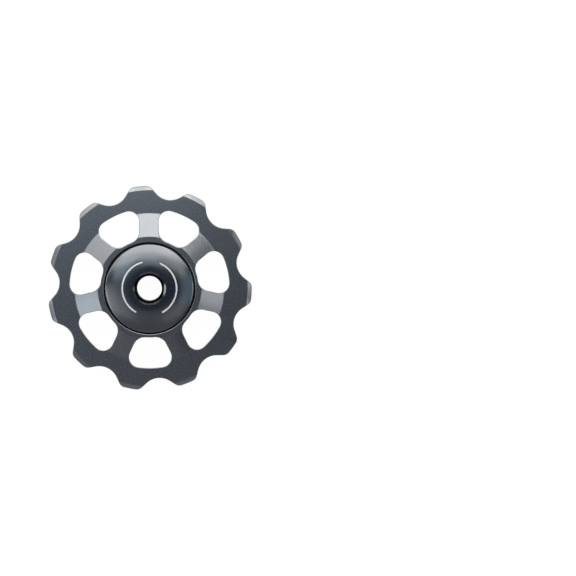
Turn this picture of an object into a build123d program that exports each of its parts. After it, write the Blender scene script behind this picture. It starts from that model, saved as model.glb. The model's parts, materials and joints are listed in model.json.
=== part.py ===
from build123d import *
import os
from math import cos, pi, radians, sin, sqrt

# Derailleur jockey wheel: a machined eleven-tooth sprocket on a sealed ball bearing,
# held between two domed caps. The axle runs along Z and the wheel lies flat.
# Lengths are in millimetres and angles in degrees.

os.makedirs("parts", exist_ok=True)

# Chain and teeth
CHAIN_PITCH = 12.7
TEETH = 11
ROLLER_DIA = 7.75
SEAT_CLEARANCE = 0.025
FLANK_ANGLE = 35.7
TOOTH_HEIGHT = 2.5
TOOTH_THICKNESS = 2.0
TIP_THICKNESS = 0.9
TIP_CHAMFER = 0.85
TIP_CORNER = 1.6

# Rim and spokes
SPOKES = 7
SPOKE_WIDTH = 4.0
RIM_WALL = 2.15
RIM_FACE = 3.18
WINDOW_RIM_CORNER = 2.1
WINDOW_HUB_CORNER = 2.45

# Hub
HUB_WALL = 0.64
HUB_FACE = 1.2
BEARING_RECESS = 0.5

# Bearing
BEARING_BORE = 10.0
BEARING_DIA = 19.0
BEARING_WIDTH = 5.0
RING_PROUD = 0.25
BALLS = 10
BALL_DIA = 2.381
BALL_CLEARANCE = 0.015
RACEWAY_WIDTH = 1.8
RACEWAY_DEPTH = 0.35

# Ball cage
CAGE_CLEARANCE = 0.1
CAGE_SEAL_CLEARANCE = 0.2
CAGE_WALL = 0.7
PRONG_TOP = 0.6

# Seals
SEAL_SIDES = 10
SEAL_INSET = 0.15
SEAL_THICKNESS = 0.5
SEAL_PRESS = 0.02
LIP_CLEARANCE = 0.06

# Axle sleeve and caps
BOLT_BORE = 5.1
SLEEVE_CLEARANCE = 0.01
CAP_GAP = 0.4
CAP_EDGE = 0.45
CAP_RISE = 0.8
CAP_FLAT = 1.65
BORE_CHAMFER = 0.6

# Tooth and rim radii
pitch_radius = CHAIN_PITCH / (2 * sin(pi / TEETH))
seat_radius = ROLLER_DIA / 2 + SEAT_CLEARANCE
root_radius = pitch_radius - seat_radius
tip_radius = root_radius + TOOTH_HEIGHT
seat_half_angle = 90 - FLANK_ANGLE - 180 / TEETH
flank_direction = 90 - seat_half_angle
chamfer_inner = tip_radius - TIP_CHAMFER
cone_outer = root_radius - RIM_FACE
window_outer = root_radius - RIM_WALL

# Hub and bearing radii
bearing_radius = BEARING_DIA / 2
race_bore = BEARING_BORE / 2
cone_inner = bearing_radius + HUB_FACE
window_inner = bearing_radius + HUB_WALL
window_middle = (window_inner + window_outer) / 2
spoke_cut = 2 * (window_outer - window_inner)
ball_radius = BALL_DIA / 2
ball_circle = (race_bore + bearing_radius) / 2
raceway_half = RACEWAY_WIDTH / 2
outer_floor = ball_circle + ball_radius + BALL_CLEARANCE
outer_land = outer_floor - RACEWAY_DEPTH
inner_floor = ball_circle - ball_radius - BALL_CLEARANCE
inner_land = inner_floor + RACEWAY_DEPTH
ball_gap = 2 * (ball_circle * sin(pi / BALLS) - ball_radius)
prong_width = ball_gap - 2 * CAGE_CLEARANCE
cage_outer = ball_circle + CAGE_WALL / 2
cage_inner = ball_circle - CAGE_WALL / 2
seal_edge = outer_land + SEAL_PRESS
seal_lip = inner_land + LIP_CLEARANCE

# Facets of a ball, with every corner on the ball's surface
facet_unit = ball_radius / sqrt(5 + 2 * sqrt(2))
ball_cube = 2 * facet_unit * (1 + sqrt(2))
ball_chamfer = facet_unit * sqrt(2)

# Sleeve and cap radii
bore_radius = BOLT_BORE / 2
sleeve_radius = race_bore - SLEEVE_CLEARANCE
cap_radius = bearing_radius - CAP_GAP
flat_inner = bore_radius + BORE_CHAMFER
flat_outer = flat_inner + CAP_FLAT
dome_middle = (flat_outer + cap_radius) / 2

# Heights above the middle plane
bearing_half = BEARING_WIDTH / 2
hub_half = bearing_half + BEARING_RECESS
rim_half = TOOTH_THICKNESS / 2
tip_half = TIP_THICKNESS / 2
seal_top = bearing_half - SEAL_INSET
seal_bottom = seal_top - SEAL_THICKNESS
cage_floor_top = -ball_radius - CAGE_CLEARANCE
cage_bottom = CAGE_SEAL_CLEARANCE - seal_bottom
ring_half = bearing_half + RING_PROUD
cap_edge_top = ring_half + CAP_EDGE
cap_top = cap_edge_top + CAP_RISE
dome_middle_top = cap_top - CAP_RISE / 4

# One gap between two teeth: a round roller seat that opens along straight flanks
with BuildSketch() as tooth_gap:
    with BuildLine():
        seat = CenterArc((0, 0), seat_radius, 180 - seat_half_angle, 2 * seat_half_angle)
        flank_a = PolarLine(seat @ 0, 2 * seat_radius, flank_direction)
        flank_b = PolarLine(seat @ 1, 2 * seat_radius, -flank_direction)
        Line(flank_a @ 1, flank_b @ 1)
    make_face()

# Toothed outline with rounded tip corners
with BuildSketch(Plane.XY.offset(-hub_half)) as tooth_outline:
    Circle(tip_radius)
    with PolarLocations(pitch_radius, TEETH, start_angle=180 / TEETH):
        add(tooth_gap.sketch, mode=Mode.SUBTRACT)
    tip_corners = tooth_outline.vertices().group_by(SortBy.DISTANCE)[-1]
    fillet(tip_corners, radius=TIP_CORNER)

# Rounded windows between parallel-sided spokes
with BuildSketch(Plane.XY.offset(-hub_half)) as windows:
    Circle(window_outer)
    Circle(window_inner, mode=Mode.SUBTRACT)
    with PolarLocations(window_middle, SPOKES):
        Rectangle(spoke_cut, SPOKE_WIDTH, mode=Mode.SUBTRACT)
    rim_corners = windows.vertices().group_by(SortBy.DISTANCE)[-1]
    fillet(rim_corners, radius=WINDOW_RIM_CORNER)
    hub_corners = windows.vertices().group_by(SortBy.DISTANCE)[0]
    fillet(hub_corners, radius=WINDOW_HUB_CORNER)

# Sprocket: a turned blank with a thick hub, coned spokes, a thin rim and chamfered tips,
# cut to the toothed outline and opened by the windows
with BuildPart() as sprocket:
    with BuildSketch(Plane.XZ):
        with BuildLine():
            Polyline(
                (bearing_radius, 0),
                (bearing_radius, hub_half),
                (cone_inner, hub_half),
                (cone_outer, rim_half),
                (chamfer_inner, rim_half),
                (tip_radius, tip_half),
                (tip_radius, 0),
                close=True,
            )
        make_face()
        mirror(about=Plane.XZ)
    revolve(axis=Axis.Z)
    extrude(tooth_outline.sketch, amount=2 * hub_half, mode=Mode.INTERSECT)
    extrude(windows.sketch, amount=2 * hub_half, mode=Mode.SUBTRACT)
sprocket.part.label = "sprocket"
export_step(sprocket.part, "parts/sprocket.step")

# Outer race: a ball groove between two plain lands that hold the seals
with BuildPart() as outer_race:
    with BuildSketch(Plane.XZ):
        with BuildLine():
            Polyline(
                (bearing_radius, -bearing_half),
                (bearing_radius, bearing_half),
                (outer_land, bearing_half),
                (outer_land, raceway_half),
                (outer_floor, raceway_half),
                (outer_floor, -raceway_half),
                (outer_land, -raceway_half),
                (outer_land, -bearing_half),
                close=True,
            )
        make_face()
    revolve(axis=Axis.Z)
outer_race.part.label = "outer_race"
export_step(outer_race.part, "parts/outer_race.step")

# Inner race: a ball groove between two plain lands that the seal lips run on,
# a little wider than the outer race so that the caps clamp it alone
with BuildPart() as inner_race:
    with BuildSketch(Plane.XZ):
        with BuildLine():
            Polyline(
                (race_bore, -ring_half),
                (race_bore, ring_half),
                (inner_land, ring_half),
                (inner_land, raceway_half),
                (inner_floor, raceway_half),
                (inner_floor, -raceway_half),
                (inner_land, -raceway_half),
                (inner_land, -ring_half),
                close=True,
            )
        make_face()
    revolve(axis=Axis.Z)
inner_race.part.label = "inner_race"
export_step(inner_race.part, "parts/inner_race.step")

# Crown cage: a ring behind the balls with one prong standing between each two of them
with BuildPart() as ball_cage:
    with BuildSketch(Plane.XY.offset(cage_bottom)):
        RegularPolygon(cage_outer, BALLS, major_radius=False)
        RegularPolygon(cage_inner, BALLS, major_radius=False, mode=Mode.SUBTRACT)
    extrude(amount=cage_floor_top - cage_bottom)
    with BuildSketch(Plane.XY.offset(cage_floor_top)):
        with PolarLocations(ball_circle, BALLS, start_angle=180 / BALLS):
            Rectangle(CAGE_WALL, prong_width)
    extrude(amount=PRONG_TOP - cage_floor_top)
ball_cage.part.label = "ball_cage"
export_step(ball_cage.part, "parts/ball_cage.step")

# Balls: cut with flats, evenly spaced between the races
for index in range(BALLS):
    ball_angle = radians(360 * index / BALLS)
    with BuildPart() as ball:
        with Locations((ball_circle * cos(ball_angle), ball_circle * sin(ball_angle), 0)):
            Box(ball_cube, ball_cube, ball_cube)
        chamfer(ball.edges(), length=ball_chamfer)
    ball.part.label = f"ball_{index + 1:02d}"
    export_step(ball.part, f"parts/ball_{index + 1:02d}.step")

# Seals: thin discs whose edges press into the outer race, open around the inner race
with BuildPart() as front_seal:
    with BuildSketch(Plane.XY.offset(seal_bottom)):
        RegularPolygon(seal_edge, SEAL_SIDES)
        RegularPolygon(seal_lip, SEAL_SIDES, major_radius=False, mode=Mode.SUBTRACT)
    extrude(amount=SEAL_THICKNESS)
front_seal.part.label = "front_seal"
export_step(front_seal.part, "parts/front_seal.step")

with BuildPart() as rear_seal:
    add(mirror(front_seal.part, about=Plane.XY, mode=Mode.PRIVATE))
rear_seal.part.label = "rear_seal"
export_step(rear_seal.part, "parts/rear_seal.step")

# Axle sleeve: lines the inner race from end to end around the bolt
with BuildPart() as axle_sleeve:
    with BuildSketch(Plane.XY.offset(-ring_half)):
        Circle(sleeve_radius)
        Circle(bore_radius, mode=Mode.SUBTRACT)
    extrude(amount=2 * ring_half)
axle_sleeve.part.label = "axle_sleeve"
export_step(axle_sleeve.part, "parts/axle_sleeve.step")

# Caps: domed covers against the ends of the inner race and sleeve, inside the hub's mouth
with BuildPart() as front_cap:
    with BuildSketch(Plane.XZ):
        with BuildLine():
            Polyline(
                (bore_radius, ring_half),
                (bore_radius, cap_top - BORE_CHAMFER),
                (flat_inner, cap_top),
                (flat_outer, cap_top),
                (dome_middle, dome_middle_top),
                (cap_radius, cap_edge_top),
                (cap_radius, ring_half),
                close=True,
            )
        make_face()
    revolve(axis=Axis.Z)
front_cap.part.label = "front_cap"
export_step(front_cap.part, "parts/front_cap.step")

with BuildPart() as rear_cap:
    add(mirror(front_cap.part, about=Plane.XY, mode=Mode.PRIVATE))
rear_cap.part.label = "rear_cap"
export_step(rear_cap.part, "parts/rear_cap.step")
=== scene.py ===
import bpy
import json
from math import cos, pi, radians, sin, tan
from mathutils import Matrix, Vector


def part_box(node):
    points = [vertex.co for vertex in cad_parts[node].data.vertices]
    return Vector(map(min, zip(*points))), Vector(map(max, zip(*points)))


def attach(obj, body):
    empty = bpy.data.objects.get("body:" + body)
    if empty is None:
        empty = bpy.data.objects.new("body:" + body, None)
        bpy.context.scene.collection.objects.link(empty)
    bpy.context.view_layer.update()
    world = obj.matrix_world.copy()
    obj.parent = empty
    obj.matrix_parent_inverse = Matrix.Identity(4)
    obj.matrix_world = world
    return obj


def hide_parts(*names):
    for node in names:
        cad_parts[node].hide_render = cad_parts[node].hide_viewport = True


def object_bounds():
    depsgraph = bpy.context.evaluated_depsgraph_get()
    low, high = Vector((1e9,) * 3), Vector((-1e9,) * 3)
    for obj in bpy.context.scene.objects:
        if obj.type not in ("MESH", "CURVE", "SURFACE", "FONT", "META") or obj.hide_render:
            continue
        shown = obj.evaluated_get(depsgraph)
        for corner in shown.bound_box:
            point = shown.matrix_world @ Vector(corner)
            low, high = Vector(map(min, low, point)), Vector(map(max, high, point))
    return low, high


# The dressed jockey wheel: an anodised sprocket with broken edges, glossy domed caps with a printed
# ring, and the sealed bearing between them. Lengths are in metres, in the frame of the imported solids.

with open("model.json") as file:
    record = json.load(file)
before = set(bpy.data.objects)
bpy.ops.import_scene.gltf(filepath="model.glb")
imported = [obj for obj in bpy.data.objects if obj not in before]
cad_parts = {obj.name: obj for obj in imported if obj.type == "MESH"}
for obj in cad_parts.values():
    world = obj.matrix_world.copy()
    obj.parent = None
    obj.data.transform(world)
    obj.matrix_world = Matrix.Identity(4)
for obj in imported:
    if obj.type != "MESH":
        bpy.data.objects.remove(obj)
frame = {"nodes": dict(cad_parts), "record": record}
cad_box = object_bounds()
nodes = frame["nodes"]

MM = 0.001

# Photograph: its size and scale, the wheel's centre and turn in it, and the tilt of the view
IMAGE_PX = 576
MM_PER_PX = 0.2065
WHEEL_PX = (149.55, 288.15)
WHEEL_ROLL = radians(166.5)
VIEW_TILT = radians(1.0)

# Turned pieces
FULL_TURN = 2 * pi
TURN_STEPS = 240
SEAM_WELD = 0.0001 * MM
SMOOTH_ANGLE = radians(24)

# Caps: level around the bore, with a dome down to a rounded edge
CAP_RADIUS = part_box("front_cap")[1].x
CAP_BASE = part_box("front_cap")[0].z
CAP_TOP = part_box("front_cap")[1].z
BOSS_RADIUS = 3.9 * MM
DOME_RISE = 0.8 * MM
DOME_STEPS = 32
CAP_EDGE_ROUND = 0.2 * MM
CAP_EDGE_STEPS = 5

# Bore of the caps, with a countersink that bends into the wall, and painted shade that darkens the
# colour in and around the bore
BORE_RADIUS = 2.55 * MM
SINK_RADIUS = 3.4 * MM
SINK_DEPTH = 1.0 * MM
SINK_TOP_SLOPE = radians(38)
SINK_BEND = 5
SINK_STEPS = 10
# Painted shade in the bore: the radius inside which the colour is darkened, the width of its blend, and
# the share of colour kept there
BORE_SHADE_RADIUS = 3.06 * MM
BORE_SHADE_BLEND = 0.05 * MM
BORE_SHADE_LEVEL = 0.12

# Printed ring on the front cap, with its arcs in degrees as the photograph shows them
PRINT_RADIUS = 5.61 * MM
PRINT_WIDTH = 0.32 * MM
PRINT_HEIGHT = 0.008 * MM
PRINT_SPANS = ((105, 241), (298, 428))
PRINT_STRIPS = 4
PRINT_STEPS = 96

# Broken edges of the sprocket
EDGE_BREAK = 0.1 * MM
EDGE_ANGLE = radians(20)
EDGE_SEGMENTS = 2
FACET_ANGLE = radians(12)
FLAT_ANGLE = radians(0.5)
FACET_WELD = 0.001 * MM
LEVEL_WEIGHT = 100
LEVEL_THRESHOLD = 0.001

# Bearing: balls in round grooves, a crown cage, seals with a thin web, and the sleeve
BALLS = 10
BALL_NAMES = [f"ball_{number + 1:02d}" for number in range(BALLS)]
BALL_RADIUS = 1.1905 * MM
BALL_CUTS = 12
BALL_CIRCLE = 7.25 * MM
GROOVE_RADIUS = 1.206 * MM
GROOVE_HALF_ANGLE = 44.7
GROOVE_STEPS = 16
OUTWARD = 0
INWARD = 180
RING_CHAMFER = 0.2 * MM
SLEEVE_RADIUS = 5.0 * MM
POCKET_RADIUS = 1.29 * MM
POCKET_SEGMENTS = 48
POCKET_RINGS = 24
CAGE_HALF_WALL = 0.35 * MM
PRONG_ROUND = 0.08 * MM
CAGE_WELD = 0.01 * MM
SEAL_LIP_RADIUS = 6.45 * MM
SEAL_EDGE_RADIUS = 8.12 * MM
SEAL_BEAD = 0.3 * MM
SEAL_STEP = 0.1 * MM

# Patterns in the finishes
METAL_GRAIN = 0.12 * MM
METAL_CLOUD = 4 * MM
METAL_TINT = 0.07
SPECKLE_TINT = 0.1
SPECKLE_SPREAD = 0.06
PLAIN_GLOSS = 0.5
RING_DETAIL = 3
GRAIN_DETAIL = 4
CLOUD_DETAIL = 3
GRAIN_RANGE = (0.3, 0.7)
UNIT_RANGE = (0, 1)

# Sockets of a node that mixes two colours
MIX_SHARE = 0
MIX_FIRST = 6
MIX_SECOND = 7
MIX_RESULT = 2

# Heights of the light panels, where panels that overlap hang one above the other, and their tints
KEY_HEIGHT = 0.25
CORE_HEIGHT = 0.255
SIDE_HEIGHT = 0.245
FILL_HEIGHT = 0.24
NEAR_HEIGHT = 0.12
NEUTRAL = (1.0, 0.99, 0.97)
COOL = (0.78, 1.0, 1.22)
FRESH = (0.87, 1.0, 1.13)
MILD = (0.93, 1.0, 1.07)
WARM = (1.05, 0.99, 0.93)

# Floor and room
FLOOR_SIZE = 6.0
FLOOR_COLOUR = (0.8, 0.8, 0.8, 1)
FLOOR_ROUGHNESS = 0.9
FLOOR_GLOW = 1.08
FLOOR_GLOW_SHARE = 0.9
HORIZON_RANGE = (0.03, 0.08)
HORIZON = (1, 1, 1, 1)
CEILING = (0.009, 0.023, 0.046, 1)

# Camera
CAMERA_DISTANCE = 4.0
SENSOR = 36.0
CLIP_START = 0.1
CLIP_END = 20.0


def deselect():
    """Select nothing."""
    bpy.ops.object.select_all(action="DESELECT")


def activate(piece):
    """Select one piece alone and make it the active one."""
    deselect()
    piece.select_set(True)
    bpy.context.view_layer.objects.active = piece


def remove(piece):
    """Delete one piece."""
    deselect()
    piece.select_set(True)
    bpy.ops.object.delete()


def weld(distance):
    """Merge the corners of the active piece that lie closer together than a distance."""
    bpy.ops.object.mode_set(mode="EDIT")
    bpy.ops.mesh.select_all(action="SELECT")
    bpy.ops.mesh.remove_doubles(threshold=distance)
    bpy.ops.object.mode_set(mode="OBJECT")


def middle(node):
    """Centre of a CAD node's box."""
    low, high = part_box(node)
    return (low + high) / 2


def between(start, end, count):
    """Even steps from start to end, with both of them."""
    return [start + (end - start) * i / count for i in range(count + 1)]


def mirrored(section):
    """Section of the rear piece that matches a front one."""
    return [(r, -z) for r, z in reversed(section)]


def turned(name, profile, start=0.0, span=FULL_TURN, steps=TURN_STEPS):
    """A closed profile drawn point by point beside the axle and spun anticlockwise about it."""
    deselect()
    bpy.ops.mesh.primitive_plane_add(size=MM)
    piece = bpy.context.object
    piece.name = name
    bpy.ops.object.mode_set(mode="EDIT")
    bpy.ops.mesh.merge(type="CENTER")
    radius, height = profile[0]
    bpy.ops.transform.translate(value=(radius * cos(start), radius * sin(start), height))
    for here, there in zip(profile, profile[1:] + profile[:1]):
        out, up = there[0] - here[0], there[1] - here[1]
        step = (out * cos(start), out * sin(start), up)
        bpy.ops.mesh.extrude_region_move(TRANSFORM_OT_translate={"value": step})
    bpy.ops.mesh.select_all(action="SELECT")
    bpy.ops.mesh.remove_doubles(threshold=SEAM_WELD)
    if span < FULL_TURN:
        bpy.ops.mesh.edge_face_add()
    bpy.ops.mesh.spin(steps=steps, angle=span, center=(0, 0, 0), axis=(0, 0, -1))
    bpy.ops.mesh.select_all(action="SELECT")
    bpy.ops.mesh.remove_doubles(threshold=SEAM_WELD)
    bpy.ops.mesh.normals_make_consistent(inside=False)
    bpy.ops.object.mode_set(mode="OBJECT")
    bpy.ops.object.shade_smooth_by_angle(angle=SMOOTH_ANGLE)
    return piece


# Caps and their print

def dome_height(radius):
    """Height of the front cap's dome: level around the bore, then ever steeper to the edge."""
    share = max(0, radius - BOSS_RADIUS) / (CAP_RADIUS - BOSS_RADIUS)
    return CAP_TOP - DOME_RISE * share ** 2


def sink_height(radius):
    """Height of the countersink around the bore, steeper towards the bore."""
    inward = SINK_RADIUS - radius
    reach = SINK_RADIUS - BORE_RADIUS
    straight = tan(SINK_TOP_SLOPE) * inward
    bend = (SINK_DEPTH - tan(SINK_TOP_SLOPE) * reach) * (inward / reach) ** SINK_BEND
    return CAP_TOP - straight - bend


def cap_profile():
    """Outline of the front cap's section, from the foot of the bore over the dome and back."""
    edge_start = CAP_RADIUS - CAP_EDGE_ROUND
    points = [(BORE_RADIUS, CAP_BASE)]
    points += [(r, sink_height(r)) for r in between(BORE_RADIUS, SINK_RADIUS, SINK_STEPS)]
    points += [(r, dome_height(r)) for r in between(SINK_RADIUS, edge_start, DOME_STEPS)[1:]]
    slope = 2 * DOME_RISE / (CAP_RADIUS - BOSS_RADIUS)
    for share in between(0, 1, CAP_EDGE_STEPS)[1:]:
        drop = CAP_EDGE_ROUND * (slope * share + (1 - slope) / 2 * share ** 2)
        points.append((edge_start + CAP_EDGE_ROUND * share, dome_height(edge_start) - drop))
    points.append((CAP_RADIUS, CAP_BASE + CAP_EDGE_ROUND / 2))
    points.append((CAP_RADIUS - CAP_EDGE_ROUND / 2, CAP_BASE))
    return points


def make_caps():
    """Smooth domed caps on both sides of the wheel."""
    section = cap_profile()
    front = turned("front_cap_dome", section)
    rear = turned("rear_cap_dome", mirrored(section))
    for dome, node in ((front, "front_cap"), (rear, "rear_cap")):
        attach(dome, "axle_core")
        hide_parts(node)
    return [front, rear]


def make_print():
    """Two thin arcs of paint that follow the front cap's dome."""
    radii = between(PRINT_RADIUS - PRINT_WIDTH / 2, PRINT_RADIUS + PRINT_WIDTH / 2, PRINT_STRIPS)
    section = [(r, dome_height(r) - PRINT_HEIGHT) for r in radii]
    section += [(r, dome_height(r) + PRINT_HEIGHT) for r in reversed(radii)]
    arcs = []
    for index, (start, end) in enumerate(PRINT_SPANS):
        span = radians(end - start)
        first = radians(start) + WHEEL_ROLL
        name = f"cap_print_{index + 1}"
        piece = turned(name, section, start=first, span=span, steps=PRINT_STEPS)
        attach(piece, "axle_core")
        arcs.append(piece)
    return arcs


# Bearing and sleeve

def groove(facing):
    """Points along a ball groove's section, about its direction from the ball in degrees."""
    points = []
    for angle in between(facing + GROOVE_HALF_ANGLE, facing - GROOVE_HALF_ANGLE, GROOVE_STEPS):
        out, up = cos(radians(angle)), sin(radians(angle))
        points.append((BALL_CIRCLE + GROOVE_RADIUS * out, GROOVE_RADIUS * up))
    return points


def make_races():
    """Ground races with a round groove for the balls and chamfered corners."""
    c = RING_CHAMFER
    radius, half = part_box("outer_race")[1].x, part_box("outer_race")[1].z
    track = groove(OUTWARD)
    land = track[0][0]
    section = [(radius, c - half), (radius, half - c), (radius - c, half), (land, half)]
    section += track + [(land, -half), (radius - c, -half)]
    outer = turned("outer_race_ring", section)
    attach(outer, "wheel")
    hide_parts("outer_race")

    bore, half = SLEEVE_RADIUS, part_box("inner_race")[1].z
    track = groove(INWARD)
    land = track[0][0]
    section = [(bore, half - c), (bore, c - half), (bore + c, -half), (land, -half)]
    section += track + [(land, half), (bore + c, half)]
    inner = turned("inner_race_ring", section)
    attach(inner, "axle_core")
    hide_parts("inner_race")
    return [outer, inner]


def make_sleeve():
    """Tube inside the inner race, chamfered at both ends."""
    c = RING_CHAMFER / 2
    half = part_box("axle_sleeve")[1].z
    bore, radius = BORE_RADIUS, SLEEVE_RADIUS
    section = [(bore + c, -half), (radius - c, -half), (radius, c - half), (radius, half - c)]
    section += [(radius - c, half), (bore + c, half), (bore, half - c), (bore, c - half)]
    sleeve = turned("axle_sleeve_tube", section)
    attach(sleeve, "axle_core")
    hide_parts("axle_sleeve")
    return sleeve


def make_seals():
    """Rubber discs with a bead in the outer race, a thin web and a lip towards the inner race."""
    low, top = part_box("front_seal")[0].z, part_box("front_seal")[1].z
    lip, edge, bead, step = SEAL_LIP_RADIUS, SEAL_EDGE_RADIUS, SEAL_BEAD, SEAL_STEP
    web_start, web_end = lip + bead + step, edge - bead - step
    section = [(lip, low), (lip + bead, low), (web_start, low + step)]
    section += [(web_end, low + step), (edge - bead, low), (edge, low)]
    section += [(edge, top - step), (edge - step, top), (edge - bead, top), (web_end, top - step)]
    section += [(web_start, top - step), (lip + bead, top), (lip + step, top), (lip, top - step)]
    front = turned("front_seal_disc", section)
    rear = turned("rear_seal_disc", mirrored(section))
    for disc, node in ((front, "front_seal"), (rear, "rear_seal")):
        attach(disc, "wheel")
        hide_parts(node)
    return [front, rear]


def make_balls():
    """Ten polished balls: one is rounded from a cube and copied to each ball's own body."""
    deselect()
    bpy.ops.mesh.primitive_cube_add(size=2 * BALL_RADIUS)
    model = bpy.context.object
    bpy.ops.object.mode_set(mode="EDIT")
    bpy.ops.mesh.subdivide(number_cuts=BALL_CUTS)
    bpy.ops.object.mode_set(mode="OBJECT")
    rounding = model.modifiers.new("ball_rounding", "CAST")
    rounding.cast_type = "SPHERE"
    rounding.factor = 1.0
    rounding.use_radius_as_size = False
    rounding.size = BALL_RADIUS
    bpy.ops.object.modifier_apply(modifier="ball_rounding")
    bpy.ops.object.shade_smooth()
    balls = []
    for node in BALL_NAMES:
        activate(model)
        bpy.ops.object.duplicate()
        ball = bpy.context.object
        ball.name = f"{node}_round"
        bpy.ops.object.mode_set(mode="EDIT")
        bpy.ops.mesh.select_all(action="SELECT")
        bpy.ops.transform.translate(value=middle(node))
        bpy.ops.object.mode_set(mode="OBJECT")
        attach(ball, node)
        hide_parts(node)
        balls.append(ball)
    remove(model)
    return balls


def make_pockets():
    """Round cutters at the places of the balls, joined into one."""
    deselect()
    pockets = []
    for node in BALL_NAMES:
        bpy.ops.mesh.primitive_uv_sphere_add(
            segments=POCKET_SEGMENTS,
            ring_count=POCKET_RINGS,
            radius=POCKET_RADIUS,
            location=middle(node),
        )
        pockets.append(bpy.context.object)
    for pocket in pockets:
        pocket.select_set(True)
    bpy.ops.object.join()
    return bpy.context.object


def make_cage():
    """Crown cage: a ring with a round pocket cut for each ball, open on the front side."""
    low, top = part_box("ball_cage")[0].z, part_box("ball_cage")[1].z
    inside, outside = BALL_CIRCLE - CAGE_HALF_WALL, BALL_CIRCLE + CAGE_HALF_WALL
    cage = turned("ball_cage_crown", [(inside, low), (outside, low), (outside, top), (inside, top)])
    cutter = make_pockets()
    cut = cage.modifiers.new("ball_pockets", "BOOLEAN")
    cut.operation = "DIFFERENCE"
    cut.object = cutter
    activate(cage)
    bpy.ops.object.modifier_apply(modifier="ball_pockets")
    weld(CAGE_WELD)
    soften = cage.modifiers.new("soft_edges", "BEVEL")
    soften.limit_method = "ANGLE"
    soften.angle_limit = EDGE_ANGLE
    soften.width = PRONG_ROUND
    soften.segments = EDGE_SEGMENTS
    bpy.ops.object.modifier_apply(modifier="soft_edges")
    weld(SEAM_WELD)
    bpy.ops.object.shade_smooth_by_angle(angle=SMOOTH_ANGLE)
    remove(cutter)
    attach(cage, "cage")
    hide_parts("ball_cage")
    return cage


# Sprocket

def make_sprocket():
    """The sprocket with all of its sharp edges broken."""
    mesh = nodes["sprocket"].data.copy()
    body = bpy.data.objects.new("sprocket_body", mesh)
    bpy.context.scene.collection.objects.link(body)
    activate(body)
    bpy.ops.object.mode_set(mode="EDIT")
    bpy.ops.mesh.select_all(action="SELECT")
    bpy.ops.mesh.remove_doubles(threshold=FACET_WELD)
    bpy.ops.mesh.customdata_custom_splitnormals_clear()
    bpy.ops.mesh.dissolve_limited(angle_limit=FLAT_ANGLE)
    bpy.ops.object.mode_set(mode="OBJECT")
    bevel = body.modifiers.new("edge_break", "BEVEL")
    bevel.limit_method = "ANGLE"
    bevel.angle_limit = EDGE_ANGLE
    bevel.width = EDGE_BREAK
    bevel.segments = EDGE_SEGMENTS
    bevel.use_clamp_overlap = False
    bpy.ops.object.modifier_apply(modifier="edge_break")
    bpy.ops.object.shade_smooth_by_angle(angle=FACET_ANGLE)
    level = body.modifiers.new("level_faces", "WEIGHTED_NORMAL")
    level.mode = "FACE_AREA"
    level.weight = LEVEL_WEIGHT
    level.thresh = LEVEL_THRESHOLD
    level.keep_sharp = True
    bpy.ops.object.modifier_apply(modifier="level_faces")
    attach(body, "wheel")
    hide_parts("sprocket")
    return body


# Finishes

def new_material(name):
    """A material and its main shader."""
    material = bpy.data.materials.new(name)
    material.use_nodes = True
    return material, material.node_tree.nodes["Principled BSDF"]


def new_node(owner, kind):
    """A node in the tree of a material or world."""
    return owner.node_tree.nodes.new(kind)


def link(owner, source, target):
    """Join two node sockets of a material or world."""
    owner.node_tree.links.new(source, target)


def place_on_piece(material):
    """Place on the piece, in metres, as a node socket."""
    return new_node(material, "ShaderNodeTexCoord").outputs["Object"]


def axle_distance(material):
    """Distance from the axle, in metres, as a node socket."""
    flat = new_node(material, "ShaderNodeVectorMath")
    flat.operation = "MULTIPLY"
    flat.inputs[1].default_value = (1, 1, 0)
    link(material, place_on_piece(material), flat.inputs[0])
    length = new_node(material, "ShaderNodeVectorMath")
    length.operation = "LENGTH"
    link(material, flat.outputs["Vector"], length.inputs[0])
    return length.outputs["Value"]


def noise(material, size, detail):
    """An uneven pattern with marks of a size, as a node socket."""
    pattern = new_node(material, "ShaderNodeTexNoise")
    pattern.inputs["Scale"].default_value = 1 / size
    pattern.inputs["Detail"].default_value = detail
    link(material, place_on_piece(material), pattern.inputs["Vector"])
    return pattern.outputs["Fac"]


def turning_rings(material, pitch):
    """Uneven rings about the axle, as a node socket."""
    pattern = new_node(material, "ShaderNodeTexNoise")
    pattern.noise_dimensions = "1D"
    pattern.inputs["Scale"].default_value = 1 / pitch
    pattern.inputs["Detail"].default_value = RING_DETAIL
    link(material, axle_distance(material), pattern.inputs["W"])
    return pattern.outputs["Fac"]


def ranged(owner, value, old, new, smooth=False):
    """A node socket's value, carried from its old range to a new one."""
    scale = new_node(owner, "ShaderNodeMapRange")
    scale.inputs["From Min"].default_value = old[0]
    scale.inputs["From Max"].default_value = old[1]
    scale.inputs["To Min"].default_value = new[0]
    scale.inputs["To Max"].default_value = new[1]
    if smooth:
        scale.interpolation_type = "SMOOTHSTEP"
    link(owner, value, scale.inputs["Value"])
    return scale.outputs["Result"]


def colour_between(owner, first, second, share):
    """A colour between two others, as a node socket; the share of the second is a socket too."""
    mix = new_node(owner, "ShaderNodeMix")
    mix.data_type = "RGBA"
    mix.inputs[MIX_FIRST].default_value = first
    mix.inputs[MIX_SECOND].default_value = second
    link(owner, share, mix.inputs[MIX_SHARE])
    return mix.outputs[MIX_RESULT]


def tinted(base, change):
    """A colour made lighter by a share of itself, or darker where that is below zero."""
    return (*[min(1, c * (1 + change)) for c in base], 1)


def bumps(material, height, depth, under=None):
    """Direction of a bumpy surface as a node socket; another such surface may lie under it."""
    bump = new_node(material, "ShaderNodeBump")
    bump.inputs["Distance"].default_value = depth
    link(material, height, bump.inputs["Height"])
    if under is not None:
        link(material, under, bump.inputs["Normal"])
    return bump.outputs["Normal"]


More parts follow.
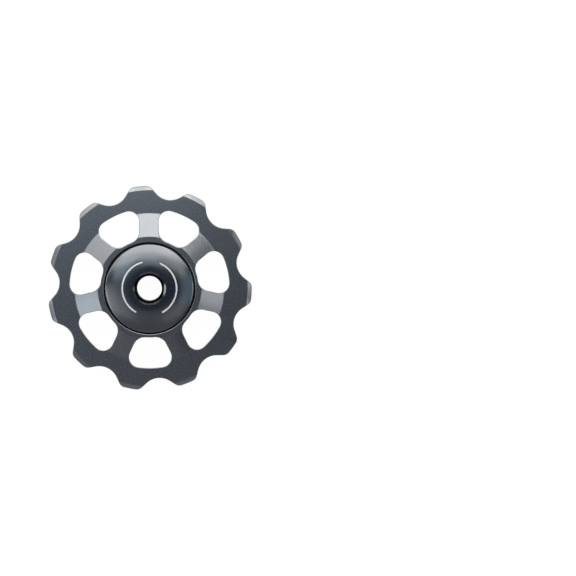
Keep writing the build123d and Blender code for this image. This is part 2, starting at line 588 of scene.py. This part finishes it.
def turned_metal(name, base, roughness, spread, ring_pitch, ring_depth, grain_depth):
    """Anodised or ground metal with fine turning rings about the axle and a small even grain."""
    material, shader = new_material(name)
    shader.inputs["Metallic"].default_value = 1.0
    grain = noise(material, METAL_GRAIN, GRAIN_DETAIL)
    cloud = noise(material, METAL_CLOUD, CLOUD_DETAIL)
    colour = colour_between(material, tinted(base, -METAL_TINT), tinted(base, METAL_TINT), cloud)
    rough = ranged(material, grain, GRAIN_RANGE, (roughness - spread, roughness + spread))
    rings = bumps(material, turning_rings(material, ring_pitch), ring_depth)
    link(material, colour, shader.inputs["Base Color"])
    link(material, rough, shader.inputs["Roughness"])
    link(material, bumps(material, grain, grain_depth, under=rings), shader.inputs["Normal"])
    return material


def painted_bore_shade(material):
    """Painted shade: darken the colour inside a radius about the axle, on the bore wall and the foot of
    the countersink.
    """
    base = material.node_tree.nodes["Principled BSDF"].inputs["Base Color"]
    unshaded_colour = base.links[0].from_socket
    edge = (BORE_SHADE_RADIUS - BORE_SHADE_BLEND, BORE_SHADE_RADIUS + BORE_SHADE_BLEND)
    share = ranged(material, axle_distance(material), edge, (BORE_SHADE_LEVEL, 1), smooth=True)
    shaded_colour = new_node(material, "ShaderNodeVectorMath")
    shaded_colour.operation = "SCALE"
    link(material, unshaded_colour, shaded_colour.inputs[0])
    link(material, share, shaded_colour.inputs["Scale"])
    link(material, shaded_colour.outputs["Vector"], base)


def speckled(name, base, roughness, grain_size, grain_depth, gloss=PLAIN_GLOSS):
    """Matte surface, moulded, printed or dyed: a slightly uneven colour and a fine grain."""
    material, shader = new_material(name)
    shader.inputs["Specular IOR Level"].default_value = gloss
    grain = noise(material, grain_size, GRAIN_DETAIL)
    colour = colour_between(material, tinted(base, -SPECKLE_TINT), tinted(base, SPECKLE_TINT), grain)
    spread = (roughness - SPECKLE_SPREAD, roughness + SPECKLE_SPREAD)
    link(material, colour, shader.inputs["Base Color"])
    link(material, ranged(material, grain, UNIT_RANGE, spread), shader.inputs["Roughness"])
    link(material, bumps(material, grain, grain_depth), shader.inputs["Normal"])
    return material


def paint(piece, material):
    """Give a piece one finish."""
    piece.data.materials.clear()
    piece.data.materials.append(material)


anodised_grey = turned_metal(
    "anodised_grey",
    base=(0.315, 0.33, 0.345),
    roughness=0.27,
    spread=0.006,
    ring_pitch=0.16 * MM,
    ring_depth=0.0003 * MM,
    grain_depth=0.00005 * MM,
)
anodised_black = turned_metal(
    "anodised_black",
    base=(0.25, 0.262, 0.275),
    roughness=0.19,
    spread=0.02,
    ring_pitch=0.12 * MM,
    ring_depth=0.0008 * MM,
    grain_depth=0.00005 * MM,
)
# Painted shade: the caps' colour is darkened in and around the bore
painted_bore_shade(anodised_black)
sleeve_alloy = speckled(
    "sleeve_alloy",
    base=(0.02, 0.02, 0.022),
    roughness=0.75,
    grain_size=0.12 * MM,
    grain_depth=0.001 * MM,
    gloss=0.1,
)
bearing_steel = turned_metal(
    "bearing_steel",
    base=(0.05, 0.05, 0.052),
    roughness=0.3,
    spread=0.05,
    ring_pitch=0.06 * MM,
    ring_depth=0.0004 * MM,
    grain_depth=0.0003 * MM,
)
ball_steel = turned_metal(
    "ball_steel",
    base=(0.72, 0.72, 0.74),
    roughness=0.12,
    spread=0.03,
    ring_pitch=0.4 * MM,
    ring_depth=0.0001 * MM,
    grain_depth=0.0001 * MM,
)
cage_nylon = speckled(
    "cage_nylon",
    base=(0.62, 0.58, 0.47),
    roughness=0.5,
    grain_size=0.2 * MM,
    grain_depth=0.002 * MM,
)
seal_rubber = speckled(
    "seal_rubber",
    base=(0.02, 0.02, 0.021),
    roughness=0.6,
    grain_size=0.1 * MM,
    grain_depth=0.002 * MM,
)
print_white = speckled(
    "print_white",
    base=(0.95, 0.955, 0.96),
    roughness=0.5,
    grain_size=0.1 * MM,
    grain_depth=0.0005 * MM,
)

slot_finish = {
    "anodised_grey": anodised_grey,
    "anodised_black": anodised_black,
    "sleeve_alloy": sleeve_alloy,
    "bearing_steel": bearing_steel,
    "ball_steel": ball_steel,
    "cage_nylon": cage_nylon,
    "seal_rubber": seal_rubber,
}

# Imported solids, then the pieces that dress them

for entry in frame["record"]["subparts"]:
    paint(nodes[entry["node"]], slot_finish[entry["material_slot"]])

paint(make_sprocket(), anodised_grey)
for cap in make_caps():
    paint(cap, anodised_black)
for mark in make_print():
    paint(mark, print_white)
for race in make_races():
    paint(race, bearing_steel)
for seal in make_seals():
    paint(seal, seal_rubber)
for ball in make_balls():
    paint(ball, ball_steel)
paint(make_cage(), cage_nylon)
paint(make_sleeve(), sleeve_alloy)


# Light

def across(right, up):
    """A place in the wheel's frame, from lengths to the right and upwards in the photograph."""
    x = right * cos(WHEEL_ROLL) - up * sin(WHEEL_ROLL)
    y = right * sin(WHEEL_ROLL) + up * cos(WHEEL_ROLL)
    return x, y


def panel(name, height, low, high, radiance, colour=NEUTRAL):
    """A soft level panel; its corners are right and up in the photograph, in panel heights."""
    width, depth = [(b - a) * height for a, b in zip(low, high)]
    x, y = across(*[(a + b) / 2 * height for a, b in zip(low, high)])
    bpy.ops.object.light_add(type="AREA", location=(x, y, height))
    lamp = bpy.context.object
    lamp.name = name
    lamp.data.shape = "RECTANGLE"
    lamp.data.size = width
    lamp.data.size_y = depth
    lamp.data.energy = pi * radiance * width * depth
    lamp.data.color = colour
    lamp.visible_camera = False
    lamp.rotation_euler = (0, 0, WHEEL_ROLL)


panel("top_panel", KEY_HEIGHT, (-1.8, 0.28), (0.1, 2.5), 1.12)
panel("top_right_panel", KEY_HEIGHT, (0.1, 0.35), (0.77, 2.6), 1.25)
panel("core_panel", CORE_HEIGHT, (-0.5, 0.44), (0.5, 1.8), 0.8)
panel("far_panel", SIDE_HEIGHT, (-1.5, 1.3), (0.4, 3.0), 1.05)
panel("far_right_panel", SIDE_HEIGHT, (0.4, 1.3), (1.5, 2.5), 2.0)
panel("left_panel", SIDE_HEIGHT, (-1.8, -0.8), (-0.72, 0.0), 1.4, MILD)
panel("left_mid_panel", SIDE_HEIGHT, (-0.72, -0.42), (-0.42, 0.03), 0.2)
panel("left_tip_panel", CORE_HEIGHT, (-2.6, -0.9), (-1.8, 1.2), 0.34)
panel("left_far_panel", SIDE_HEIGHT, (-6.5, -1.1), (-3.4, 1.7), 2.3)
panel("right_panel", SIDE_HEIGHT, (0.9, -0.45), (1.8, 0.2), 1.35)
panel("right_far_panel", CORE_HEIGHT, (1.7, -0.12), (2.4, 1.5), 1.32)
panel("right_low_panel", SIDE_HEIGHT, (3.8, -0.5), (6.5, 0.5), 0.75)
panel("cap_panel", FILL_HEIGHT, (0.12, 0.17), (0.5, 0.35), 0.68)
panel("low_fill", FILL_HEIGHT, (-1.0, -1.2), (0.5, -0.12), 0.15, WARM)
panel("low_far_fill", FILL_HEIGHT, (-2.4, -4.5), (2.2, -1.2), 0.29, WARM)
panel("near_fill", NEAR_HEIGHT, (-0.52, 0.09), (-0.16, 0.38), 0.59, FRESH)
panel("near_top_fill", NEAR_HEIGHT, (-0.09, 0.13), (0.1, 0.33), 0.6, FRESH)
panel("near_low_fill", NEAR_HEIGHT, (-0.4, -0.4), (-0.12, 0.0), 0.06, COOL)
panel("left_fill", KEY_HEIGHT, (-0.9, -0.42), (-0.21, 0.03), 0.22)
panel("right_fill", KEY_HEIGHT, (0.34, -0.22), (0.9, 0.2), 0.28, COOL)
panel("right_low_fill", KEY_HEIGHT, (0.16, -0.45), (0.9, -0.22), 0.17)


# Floor and room

def floor_white():
    """Matte white that glows where it is seen directly or mirrored, and still takes a faint shadow."""
    material, shader = new_material("floor_white")
    shader.inputs["Base Color"].default_value = FLOOR_COLOUR
    shader.inputs["Roughness"].default_value = FLOOR_ROUGHNESS
    rays = new_node(material, "ShaderNodeLightPath")
    seen = rays.outputs["Is Camera Ray"]
    for kind in ("Is Glossy Ray", "Is Transmission Ray"):
        either = new_node(material, "ShaderNodeMath")
        either.operation = "MAXIMUM"
        link(material, seen, either.inputs[0])
        link(material, rays.outputs[kind], either.inputs[1])
        seen = either.outputs[0]
    share = new_node(material, "ShaderNodeMath")
    share.operation = "MULTIPLY"
    share.inputs[1].default_value = FLOOR_GLOW_SHARE
    link(material, seen, share.inputs[0])
    glow = new_node(material, "ShaderNodeEmission")
    glow.inputs["Strength"].default_value = FLOOR_GLOW
    mix = new_node(material, "ShaderNodeMixShader")
    link(material, share.outputs[0], mix.inputs[0])
    link(material, shader.outputs[0], mix.inputs[1])
    link(material, glow.outputs[0], mix.inputs[2])
    link(material, mix.outputs[0], material.node_tree.nodes["Material Output"].inputs["Surface"])
    return material


def make_floor():
    """A white floor under the wheel."""
    deselect()
    bpy.ops.mesh.primitive_plane_add(size=FLOOR_SIZE, location=(0, 0, 0))
    floor = bpy.context.object
    floor.name = "floor"
    bpy.ops.object.mode_set(mode="EDIT")
    bpy.ops.transform.translate(value=(0, 0, cad_box[0].z))
    bpy.ops.object.mode_set(mode="OBJECT")
    paint(floor, floor_white())


def make_world():
    """A dim room with a white band along the horizon."""
    world = bpy.data.worlds.new("studio")
    bpy.context.scene.world = world
    world.use_nodes = True
    place = new_node(world, "ShaderNodeTexCoord")
    height = new_node(world, "ShaderNodeSeparateXYZ")
    link(world, place.outputs["Generated"], height.inputs[0])
    rise = ranged(world, height.outputs["Z"], HORIZON_RANGE, UNIT_RANGE, smooth=True)
    shade = colour_between(world, HORIZON, CEILING, rise)
    link(world, shade, world.node_tree.nodes["Background"].inputs["Color"])


make_floor()
make_world()


# Camera

def make_camera():
    """The photograph's view: from far above, with the wheel at its place in the frame."""
    data = bpy.data.cameras.new("camera")
    camera = bpy.data.objects.new("camera", data)
    bpy.context.scene.collection.objects.link(camera)
    data.sensor_width = SENSOR
    data.lens = SENSOR * CAMERA_DISTANCE / (IMAGE_PX * MM_PER_PX * MM)
    data.clip_start = CLIP_START
    data.clip_end = CLIP_END
    right = (IMAGE_PX / 2 - WHEEL_PX[0]) * MM_PER_PX * MM
    up = (WHEEL_PX[1] - IMAGE_PX / 2) * MM_PER_PX * MM
    above = CAMERA_DISTANCE * sin(VIEW_TILT)
    camera.location = (*across(right, up + above), CAMERA_DISTANCE * cos(VIEW_TILT))
    camera.rotation_euler = (-VIEW_TILT, 0, WHEEL_ROLL)
    bpy.context.scene.camera = camera


make_camera()
bpy.context.scene.view_settings.view_transform = "Standard"
